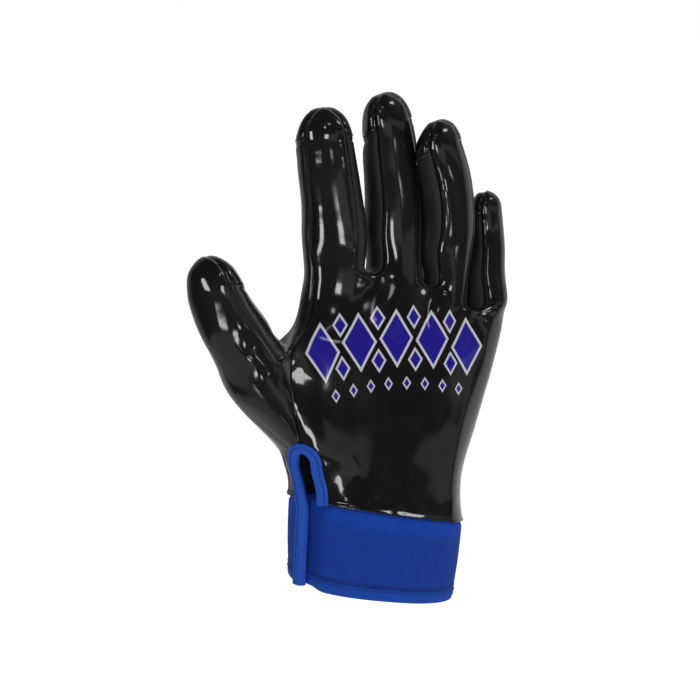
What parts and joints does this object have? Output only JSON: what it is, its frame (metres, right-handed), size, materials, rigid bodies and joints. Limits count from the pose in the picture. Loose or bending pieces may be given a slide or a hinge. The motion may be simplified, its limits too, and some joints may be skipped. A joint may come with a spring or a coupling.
{
  "type": "athletic glove",
  "caption": "Left-hand sports glove in its worn form, with a glossy grip palm, knit back, finger side strips, wrapped tips and a ribbed knit cuff split by a bound teardrop slit.",
  "frame": {"origin": "centre of the wrist opening, at the middle height of the cuff's lower edge", "axes": "+Z from the wrist to the fingertips, +Y from the palm to the back of the hand, +X from the thumb side to the little finger side"},
  "size_m": [0.1567, 0.0549, 0.2351],
  "materials": {
    "silicone": "high gloss",
    "back_knit": "matte fine knit",
    "strip_knit": "matte fine knit",
    "cuff_knit": "matte rib knit",
    "hem_knit": "matte rib knit",
    "binding_tape": "matte woven"
  },
  "bodies": {
    "root": {"palm_panel": "silicone", "thumb_panel": "silicone", "back_panel": "back_knit", "fourchette_thumb_index": "strip_knit", "fourchette_index_middle": "strip_knit", "fourchette_middle_ring": "strip_knit", "fourchette_ring_pinky": "strip_knit", "tip_cap_thumb": "silicone", "tip_cap_index": "silicone", "tip_cap_middle": "silicone", "tip_cap_ring": "silicone", "tip_cap_pinky": "silicone", "cuff_band": "cuff_knit", "cuff_hem": "hem_knit", "slit_binding": "binding_tape"}
  },
  "joints": []
}
